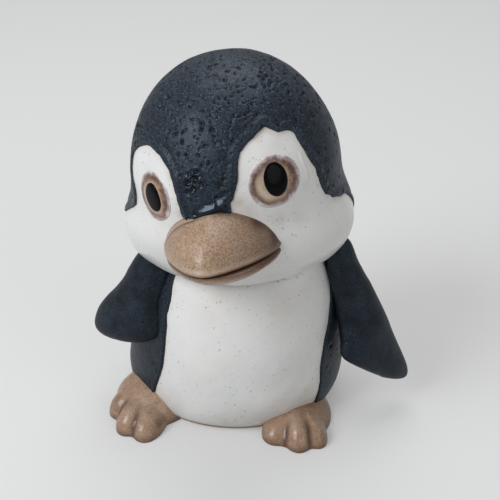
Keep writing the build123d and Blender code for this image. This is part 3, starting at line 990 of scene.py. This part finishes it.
def buildBeak(label, sign):
    own = beakShape[label]
    half, reach, tall = beakShape["halfWidth"] - own["inset"], beakShape["length"] - own["inset"], own["height"]
    rows, spokes = beakShape["rows"], beakShape["spokes"]
    lift = np.linspace(0, 1, rows) ** beakShape["crowding"] * math.pi / 2
    angle = np.arange(spokes) / spokes * 2 * math.pi
    fuller = (sign < 0) & (np.cos(angle) > 0)  # the lower jaw is fuller on the bird's left
    pointed = np.where(fuller, beakShape["lowerPointed"], beakShape["pointed"])
    plan = np.maximum(np.cos(lift), 0) ** beakShape["brow"]
    plan[-1] = beakShape["topShare"]  # the top row closes to almost a point
    rise = tall * np.sin(lift) ** beakShape["brow"]
    lip = beakShape["lip"] * hump(rise, beakShape["lipAt"], beakShape["lipWidth"])  # a rolled lip along the mouth
    x = (plan * half + lip)[:, None] * signedPower(np.cos(angle), pointed)
    y = -(plan * reach + lip)[:, None] * signedPower(np.sin(angle), pointed)
    # the mouth side turns under with a rounded edge, then closes flat
    shares, heights = np.array(beakShape["under"]).T
    x, y = (np.concatenate([np.outer(shares, row[0]), row]) for row in (x, y))
    z = (np.r_[heights, rise] + beakShape["gap"]) * sign
    p = np.stack([x, y, np.repeat(z[:, None], spokes, 1)], -1).reshape(-1, 3)
    outward = unitRows(p * np.array([1 / half**2, 1 / reach**2, 1 / tall**2]), speck)
    proud, _ = proudOfHead(beakToWorld(p))
    fromMouth = np.abs(p[:, 2])
    rightSide = ramp(-p[:, 0], beakShape["rightFrom"], beakShape["rightSpan"]) * (sign > 0)
    groove = hump(proud, beakShape["rimBand"], beakShape["rimWidth"]) * rightSide
    p = p + outward * (swellOf(p, beakShape["lumps"]) - beakShape["rimDepth"] * groove)[:, None]
    # painted shade along the mouth, where the beak meets the face, in the corners and the groove; the cheek, away from
    # the light, is painted shade with a browner tint
    tone, across = beakShape["washAndShade"], p[:, 0]
    blotch = unit(lumps(p, tone["blotchSize"], tone["blotchSeed"]))
    rim = hump(np.maximum(proud, 0), 0, tone["rimWidth"]) * (tone["rimPlain"] + (1 - tone["rimPlain"]) * blotch)
    rim = rim * np.maximum(ramp(across, tone["rimFrom"], tone["rimSpan"]), tone["rimLeast"])
    corner = ramp(np.abs(across), tone["cornerFrom"], tone["cornerSpan"]) * hump(fromMouth, 0, tone["cornerWidth"])
    cheek = ramp(across, tone["cheekFrom"], tone["cheekSpan"]) * (sign > 0)
    cheek = cheek * (tone["cheekPlain"] + (1 - tone["cheekPlain"]) * blotch)
    washAndShade = hump(fromMouth, 0, tone["mouthWidth"]) + own["rimWashAndShade"] * rim
    washAndShade = washAndShade + tone["cheek"] * cheek + tone["corner"] * corner + tone["groove"] * groove
    tone = beakShape["worn"]
    patches = tone["plain"] + tone["patchy"] * np.clip(lumps(p, tone["size"], tone["seed"]), tone["least"], 1)
    band = rightSide * unit(tone["bandStrength"] - np.abs(proud - tone["bandAt"]) / tone["bandHalf"])
    worn = hump(fromMouth, own["wornAt"], own["wornWidth"]) * patches + tone["band"] * band
    faces = gridFaces(rows + len(shares), spokes)
    faces = turnedOver(faces) if sign > 0 else faces
    masks = {"washAndShade": unit(washAndShade), "worn": unit(worn)}
    newPiece(label + "Beak", beakToWorld(p), faces, beakMaterial, label + "_beak", masks)


buildBeak("upper", 1)
buildBeak("lower", -1)
print("beak done")


# body coats

bellyShape = {
    # how far round from the front the pale belly reaches, up the body
    "rise": [0.0, 4.3, 9.6, 17.2, 23.8, 28.6, 34.6, 44.0],
    "right": [-44.0, -42.0, -38.6, -36.0, -37.0, -38.2, -41.0, -48.0],
    "riseLeft": [0.0, 1.8, 14.3, 21.2, 26.4, 31.3, 36.1, 44.0],
    "left": [56.4, 56.6, 57.0, 58.6, 62.6, 66.0, 66.4, 65.0],
    "edgeWander": 0.30, "wander": [(3.2, 1.0, 41), (1.2, 0.5, 42)], "lumps": [(8.0, 0.22, 51), (2.6, 0.06, 52)],
    "inset": 0.4, "under": 1.2, "depth": 0.5, "footDrop": 0.4, "edgeStain": 1.4, "footStain": 2.0, "girthRadius": 21.0,
    "stainsAndShadow": [  # tan stains, and painted shadow under the beak: degrees round, height, size, strength
        (-8.0, 33.5, 4.5, 0.35), (30.0, 31.0, 4.0, 0.30), (48.0, 8.0, 3.5, 0.40), (-36.0, 5.0, 3.0, 0.35),
        (10.0, 2.5, 5.0, 0.30),
    ],
}
backCoat = {
    "edgeWidth": 0.5, "edgeDrop": 0.5, "footDrop": 0.5, "fineNear": 0.9, "clear": 0.8, "clearBase": 0.9, "depth": 0.45,
    "lumps": [(7.0, 0.18, 61), (2.2, 0.05, 62)],
    "pits": {"seed": 9, "count": 420, "radius": 0.30, "deep": 0.5, "deepest": 0.45},
}
drumShape = {"rows": 118, "columns": 400, "top": 0.93, "hidden": 2.2}


def bodyPoint(p):
    # from the working drum (a unit circle and a height) to the body
    around = np.arctan2(p[:, 0], -p[:, 1])
    rise = p[:, 2] * bodyShape["height"]
    a, b, s = bodyAt(rise)
    lean = bodyShape["lean"] * rise / bodyShape["height"]
    out = np.stack([a * np.sin(around) + lean, s - b * np.cos(around), rise], 1)
    outward = np.stack([np.sin(around) / np.maximum(a, 1), -np.cos(around) / np.maximum(b, 1), np.zeros(len(p))], 1)
    return out, unitRows(outward), around, rise


def bellyField(p):
    out, _, around, rise = bodyPoint(p)
    a, b, _ = bodyAt(rise)
    rightEdge = np.radians(naturalSpline(bellyShape["rise"], bellyShape["right"], rise))
    leftEdge = np.radians(naturalSpline(bellyShape["riseLeft"], bellyShape["left"], rise))
    inside = np.minimum(around - rightEdge, leftEdge - around) * ((a + b) / 2)
    return inside + bellyShape["edgeWander"] * swellOf(out, bellyShape["wander"])


def drum(rows, columns, low, high):
    angle = np.arange(columns) / columns * 2 * math.pi
    z, a = np.meshgrid(np.linspace(low, high, rows), angle, indexing="ij")
    points = np.stack([np.sin(a), -np.cos(a), z], -1).reshape(-1, 3)
    return points, np.array(gridFaces(rows, columns))


drumFoot = bodyShape["bareRing"] / bodyShape["height"]
drumPoints, drumQuads = drum(drumShape["rows"], drumShape["columns"], drumFoot, drumShape["top"])
hidden = insideHead(bodyPoint(drumPoints)[0], drumShape["hidden"])
drumQuads = drumQuads[~hidden[drumQuads].all(1)]


def baseShare(rise):
    # 0 at the bare ring, 1 where the coat is full
    return ramp(rise, bodyShape["bareRing"], bodyShape["baseRound"])


def buildBelly():
    p, faces, field = cutSkin(drumPoints, drumQuads, bellyField, -bellyShape["under"])
    out, outward, around, rise = bodyPoint(p)
    base = baseShare(rise)
    proud = swellOf(out, bellyShape["lumps"]) * base - bellyShape["inset"]
    out = out + outward * (proud - bellyShape["footDrop"] * (1 - np.sqrt(base)))[:, None]
    side = 1 - (field - bellyShape["under"]) / bellyShape["edgeStain"]
    foot = 1 - (rise - bodyShape["bareRing"]) / bellyShape["footStain"]
    # tan stains on the belly, and painted shadow under the beak
    stainAndShadow = np.zeros(len(out))
    for degrees, height, size, strength in bellyShape["stainsAndShadow"]:
        away = np.hypot((around - math.radians(degrees)) * bellyShape["girthRadius"], rise - height)
        stainAndShadow = np.maximum(stainAndShadow, strength * hump(away, 0, size))
    masks = {"edge": unit(np.maximum(side, foot)), "stainAndShadow": stainAndShadow}
    newPiece("bellyGlaze", out, faces, whiteMaterial, "belly_coat", masks, bellyShape["depth"])


def buildBack():
    p, faces, field = cutSkin(drumPoints, drumQuads, lambda q: -bellyField(q), 0.0, backCoat["fineNear"])
    out, outward, _, rise = bodyPoint(p)
    base = baseShare(rise)
    drop = backCoat["edgeDrop"] * (1 - roundedEdge(field, backCoat["edgeWidth"]))
    drop = drop + backCoat["footDrop"] * (1 - np.sqrt(base))
    out = out + outward * (swellOf(out, backCoat["lumps"]) * unit(field) - drop)[:, None]
    clear = (field > backCoat["clear"]) & (base > backCoat["clearBase"])
    out, pit = pitted(out, outward, backCoat["pits"], clear * 1.0)
    masks = {"pit": pit, "pool": np.zeros(len(out))}
    newPiece("backGlaze", out, faces, flankMaterial, "back_coat", masks, backCoat["depth"])


buildBelly()
buildBack()
print("body done")


# flippers and tail

flipperShape = {
    "left": {
        "length": 30.0, "flare": 10.2, "sweep": -1.0, "twist": 48.0, "width": 14.5, "slant": 0.90,
        "spread": 21.1, "forward": 5.2, "middle": 0.77, "end": 1.04, "sink": 1.9, "sinkSpan": 0.60,
    },
    "right": {
        "length": 22.9, "flare": 17.3, "sweep": -3.5, "twist": 61.5, "width": 16.0, "slant": 0.41,
        "spread": 18.4, "forward": 9.2, "middle": 0.74, "end": 0.83, "sink": 0.4, "sinkSpan": 0.50,
    },
    "thickness": 8.0, "curl": 2.5, "tipSetback": 1.2, "sideways": 4.2, "rise": 38.0,
    "formRows": 900, "rows": 130, "spokes": 132, "coreDrop": 0.97, "lumps": [(6.0, 0.22, 71), (2.0, 0.05, 73)],
    "pits": {"seed": 15, "count": 90, "radius": 0.28, "deep": 0.45, "deepest": 0.4},
}


def buildFlipper(label, side):
    own = flipperShape[label]
    rings = [  # place along the blade, width, thickness, setback
        (-0.16, 0.0, 0.0, 0.0), (-0.11, 0.25, 0.34, 0.0), (0.0, 0.43, 0.64, 0.0), (0.22, 0.57, 0.88, 0.0),
        (0.50, own["middle"], 0.94, 0.0), (0.74, 1.0, 0.84, 0.0), (0.92, own["end"], 0.60, 0.0), (1.0, 0.0, 0.0, 0.0),
    ]
    form = ringRows(rings, own["width"], flipperShape["thickness"], own["length"], flipperShape["formRows"])
    # ring spacing follows the blade's own outline, so the tip stays round
    along = np.r_[0, np.cumsum(np.hypot(np.diff(form[:, 0]), np.diff(form[:, 1])))]
    at = np.linspace(0, along[-1], flipperShape["rows"])
    share, half, thick = (np.interp(at, along, form[:, c]) for c in (0, 1, 2))
    share = share / own["length"]
    curve = share * np.abs(share)
    half, thick = np.maximum(half, hairline), np.maximum(thick, hairline)
    rows, spokes = flipperShape["rows"], flipperShape["spokes"]
    angle = np.arange(spokes) / spokes * 2 * math.pi
    x = thick[:, None] * np.cos(angle) + (flipperShape["curl"] * curve)[:, None]
    y = half[:, None] * np.sin(angle)
    z = (-share * own["length"])[:, None] - own["slant"] * y * curve[:, None]  # the end is on a slant
    p = np.stack([x, y + (flipperShape["tipSetback"] * curve)[:, None], z], -1)
    core = p.mean(1, keepdims=True) * np.array([1, 1, flipperShape["coreDrop"]])
    outward = unitRows((p - core).reshape(-1, 3), speck)
    p = p.reshape(-1, 3)
    p = p + outward * swellOf(p, flipperShape["lumps"], side)[:, None]
    p, pit = pitted(p, outward, flipperShape["pits"], np.ones(len(p)), side)
    p = p @ (turned("X", own["sweep"]) @ turned("Y", -own["flare"]) @ turned("Z", -own["twist"])).T
    top = unit(1 - np.repeat(share, spokes) / own["sinkSpan"])
    p[:, 0] += own["spread"] - own["sink"] * eased(top)  # the top leans in to the shoulder
    faces = gridFaces(rows, spokes)
    if side < 0:
        p = p * mirrorX
    else:
        faces = turnedOver(faces)
    p = p + np.array([flipperShape["sideways"], -own["forward"], flipperShape["rise"]])
    masks = {"pit": pit, "pool": np.zeros(len(p))}
    newPiece(label + "Flipper", p, faces, flipperMaterial, label + "_flipper", masks)


buildFlipper("left", 1)
buildFlipper("right", -1)

tailShape = {
    "width": 13.0, "length": 20.0, "height": 8.0, "rise": 5.5, "back": 17.0, "slope": 12.0, "foot": 0.8,
    "drawnIn": 0.25, "cells": 44, "lumps": [(4.0, 0.18, 81)],
}


def buildTail():
    directions, quads = quadSphere(tailShape["cells"])
    p = directions * np.array([tailShape["width"], tailShape["length"], tailShape["height"]]) / 2
    p[:, 0] *= 1 - tailShape["drawnIn"] * unit(p[:, 1] / (tailShape["length"] / 2)) ** 2  # narrower towards the tip
    p += directions * swellOf(p, tailShape["lumps"])[:, None]
    p = p @ turned("X", -tailShape["slope"]).T + np.array([0, tailShape["back"], tailShape["rise"]])
    p[:, 2] = np.maximum(p[:, 2], tailShape["foot"])
    masks = {"pit": np.zeros(len(p)), "pool": np.zeros(len(p))}
    newPiece("tailPiece", p, quads, flipperMaterial, "tail", masks)


buildTail()
print("flippers and tail done")


# feet

footShape = {
    # each foot: instep width, length, height and turn; toes by outward turn, length, width, height
    "left": {
        "instep": (14.6, 20.0, 5.6, 12.0), "outerDrop": 0.40,
        "toes": [(28.0, 13.0, 6.6, 4.9), (7.0, 13.6, 7.6, 5.3), (-22.0, 12.6, 8.6, 4.2)],
    },
    "right": {
        "instep": (17.5, 20.0, 7.8, 20.0), "outerDrop": 0.05,
        "toes": [(50.0, 11.2, 8.4, 5.4), (20.0, 14.0, 7.8, 5.2), (-1.0, 14.8, 8.0, 4.5)],
    },
    "spread": 15.8, "forward": 10.0, "webLength": 0.96, "webHeight": 0.92, "cells": 20,
    "grain": 0.30, "softenShare": 0.5, "soften": 16, "sole": 0.02, "lumps": [(3.2, 0.20, 91), (1.3, 0.07, 93)],
    # painted shade and brown wash: width and start of the creases, their fade and depth; height and depth at the table;
    # blotches. The creases and the edge on the table are painted shade, the blotches a brown wash
    "crease": (0.7, 0.62, 2.5, 0.9), "table": (1.6, 0.75), "blotches": (2.6, 0.45, 95),
    # start and span of the outer drop sideways and backwards, of the worn tops upwards and forwards; worn patches
    "dropAcross": (1.0, 6.0), "dropBack": (-12.0, 8.0), "wornUp": (2.6, 2.5), "wornAhead": (4.0, 5.0),
    "worn": 0.5, "patches": (2.0, 0.5, 97), "swellFrom": 2.0,
}


def ballPoints(size, centre, spin):
    directions, quads = quadSphere(footShape["cells"])
    return (directions * np.array(size) / 2) @ turned("Z", spin).T + np.array(centre), quads


def toeBall(turn, length, width, height):
    return ballPoints((width, length, 2 * height), turned("Z", turn) @ np.array([0, -length / 2, 0]), turn)


def pressed(balls):
    # balls of clay pressed into one lump, smoothed as wet clay and cut flat underneath
    points, faces, start = [], [], 0
    for p, quads in balls:
        points += [tuple(q * mm) for q in p]
        faces += [tuple(int(i) + start for i in q) for q in quads]
        start += len(p)
    mesh = bpy.data.meshes.new("footLump")
    mesh.from_pydata(points, [], faces)
    lump = bpy.data.objects.new("footLump", mesh)
    scene.collection.objects.link(lump)
    merge = lump.modifiers.new("press", "REMESH")
    merge.mode = "VOXEL"
    merge.voxel_size = footShape["grain"] * mm
    soft = lump.modifiers.new("soften", "SMOOTH")
    soft.factor = footShape["softenShare"]
    soft.iterations = footShape["soften"]
    done = bpy.data.meshes.new_from_object(lump.evaluated_get(bpy.context.evaluated_depsgraph_get()))
    bpy.data.objects.remove(lump)
    bm = bmesh.new()
    bm.from_mesh(done)
    everything = bm.verts[:] + bm.edges[:] + bm.faces[:]
    sole = (0, 0, footShape["sole"] * mm)
    bmesh.ops.bisect_plane(bm, geom=everything, plane_co=sole, plane_no=(0, 0, -1), clear_outer=True)
    bmesh.ops.holes_fill(bm, edges=[e for e in bm.edges if e.is_boundary], sides=0)
    bm.verts.index_update()
    p = np.array([v.co for v in bm.verts]) / mm - (0, 0, footShape["sole"])
    faces = [[v.index for v in f.verts] for f in bm.faces]
    bm.free()
    bpy.data.meshes.remove(done)
    return p, faces


def buildFoot(label, side):
    # an instep, three toes and the web between them
    own = footShape[label]
    width, length, height, turn = own["instep"]
    balls = [ballPoints((width, length, 2 * height), (0, 0, 0), turn)] + [toeBall(*toe) for toe in own["toes"]]
    creases = []
    for one, two in zip(own["toes"], own["toes"][1:]):
        between, reach = (one[0] + two[0]) / 2, footShape["webLength"] * min(one[1], two[1])
        balls.append(toeBall(between, reach, (one[2] + two[2]) / 2, footShape["webHeight"] * min(one[3], two[3])))
        creases.append((between, reach))
    p, faces = pressed(balls)
    outer = ramp(p[:, 0], *footShape["dropAcross"]) * ramp(p[:, 1], *footShape["dropBack"])
    p[:, 2] *= 1 - own["outerDrop"] * outer
    # brown blotches, with painted shade in the creases between the toes and along the edge on the table
    size, depth, seed = footShape["blotches"]
    washAndShade = depth * unit(lumps(p, size, seed + side))
    tall, depth = footShape["table"]
    washAndShade = np.maximum(washAndShade, depth * unit(1 - p[:, 2] / tall))
    wide, start, fade, depth = footShape["crease"]
    for between, reach in creases:
        q = p @ turned("Z", between)
        washAndShade = np.maximum(washAndShade, hump(q[:, 0], 0, wide) * np.clip((-q[:, 1] - start * reach) / fade, 0, depth))
    worn = ramp(p[:, 2], *footShape["wornUp"]) * ramp(-p[:, 1], *footShape["wornAhead"])  # the tops of the toes
    p[:, 2] += unit(p[:, 2] / footShape["swellFrom"]) * swellOf(p, footShape["lumps"], side)
    p = p + np.array([footShape["spread"], -footShape["forward"], 0])
    if side < 0:
        p = p * mirrorX
        faces = turnedOver(faces)
    size, least, seed = footShape["patches"]
    masks = {"washAndShade": washAndShade, "worn": footShape["worn"] * worn * unit(least + lumps(p, size, seed))}
    newPiece(label + "Foot", p, faces, footMaterial, label + "_foot", masks)


buildFoot("left", 1)
buildFoot("right", -1)
print("feet done")


# studio

studio = {
    "floor": (0.46, 0.46, 0.455), "floorGlow": 0.24, "floorHalf": 6.0, "floorDrop": 0.0001,
    "floorRoughness": 0.75, "floorSpecular": 0.2, "aim": (0, 0, 0.04),
    "world": (0.86, 0.88, 0.90), "worldLight": 0.30, "backdrop": 0.42,
    "key": {"place": (-0.34, -0.30, 0.42), "size": 0.34, "power": 2.5, "colour": (0.96, 0.98, 1.0)},
    "fill": {"place": (0.42, -0.30, 0.26), "size": 0.40, "power": 0.5, "colour": (1.0, 0.99, 0.97)},
    "top": {"place": (-0.02, 0.20, 0.50), "size": 0.40, "power": 1.2, "colour": (1.0, 1.0, 1.0)},
}


def seenRays(tree):
    # rays from the camera, straight or by way of gloss or glass
    path = addNode(tree, "ShaderNodeLightPath")
    seen = mathNode(tree, "MAXIMUM", path.outputs["Is Camera Ray"], path.outputs["Is Glossy Ray"])
    return mathNode(tree, "MAXIMUM", seen, path.outputs["Is Transmission Ray"])


def aimed(obj, place, direction):
    obj.location = place
    obj.rotation_euler = direction.to_track_quat("-Z", "Y").to_euler()
    scene.collection.objects.link(obj)


def buildStudio():
    mesh = bpy.data.meshes.new("floor")
    half = studio["floorHalf"]
    mesh.from_pydata([(-half, -half, 0), (half, -half, 0), (half, half, 0), (-half, half, 0)], [], [(0, 1, 2, 3)])
    floor = bpy.data.objects.new("floor", mesh)
    scene.collection.objects.link(floor)
    floor.location.z = -studio["floorDrop"]
    look = {"roughness": studio["floorRoughness"], "specular": studio["floorSpecular"]}
    material, tree, shader = newMaterial("paleFloor", look)
    shader.inputs["Base Color"].default_value = (*studio["floor"], 1)
    shader.inputs["Emission Color"].default_value = (1, 1, 1, 1)
    glow = times(tree, seenRays(tree), studio["floorGlow"])  # pale to the eye and in gloss, no soft light
    tree.links.new(glow, shader.inputs["Emission Strength"])
    mesh.materials.append(material)
    world = bpy.data.worlds.new("studio")
    world.use_nodes = True
    tree = world.node_tree
    background = tree.nodes["Background"]
    background.inputs["Color"].default_value = (*studio["world"], 1)
    strength = remap(tree, seenRays(tree), 0.0, 1.0, studio["worldLight"], studio["backdrop"])  # a pale backdrop
    tree.links.new(strength, background.inputs["Strength"])
    scene.world = world
    for name in ("key", "fill", "top"):
        own = studio[name]
        lamp = bpy.data.lights.new(name, "AREA")
        lamp.shape = "DISK"
        lamp.size = own["size"]
        lamp.energy = own["power"]
        lamp.color = own["colour"]
        aimed(bpy.data.objects.new(name, lamp), own["place"], Vector(studio["aim"]) - Vector(own["place"]))


cameraShape = {
    "azimuth": 9.0, "elevation": 30.0, "distance": 230.0, "target": (0.0, 0.0, 38.0), "sensor": 36.0, "near": 0.01,
    "image": 500, "focal": 1090.0, "middle": (232.0, 234.0),  # in pixels
}


def buildCamera():
    side, lift = math.radians(cameraShape["azimuth"]), math.radians(cameraShape["elevation"])
    back = Vector((math.sin(side) * math.cos(lift), -math.cos(side) * math.cos(lift), math.sin(lift)))
    right = Vector((0, 0, 1)).cross(back).normalized()
    up = back.cross(right)
    focal, centre = cameraShape["focal"], cameraShape["image"] / 2
    across, down = ((centre - m) / focal for m in cameraShape["middle"])
    data = bpy.data.cameras.new("camera")
    data.sensor_width = cameraShape["sensor"]
    data.lens = focal / cameraShape["image"] * cameraShape["sensor"]
    data.clip_start = cameraShape["near"]
    camera = bpy.data.objects.new("camera", data)
    place = Vector(cameraShape["target"]) + back * cameraShape["distance"]
    aimed(camera, place * mm, right * across - up * down - back)
    scene.camera = camera


buildStudio()
buildCamera()
scene.view_settings.view_transform = "Standard"
print("studio ready")
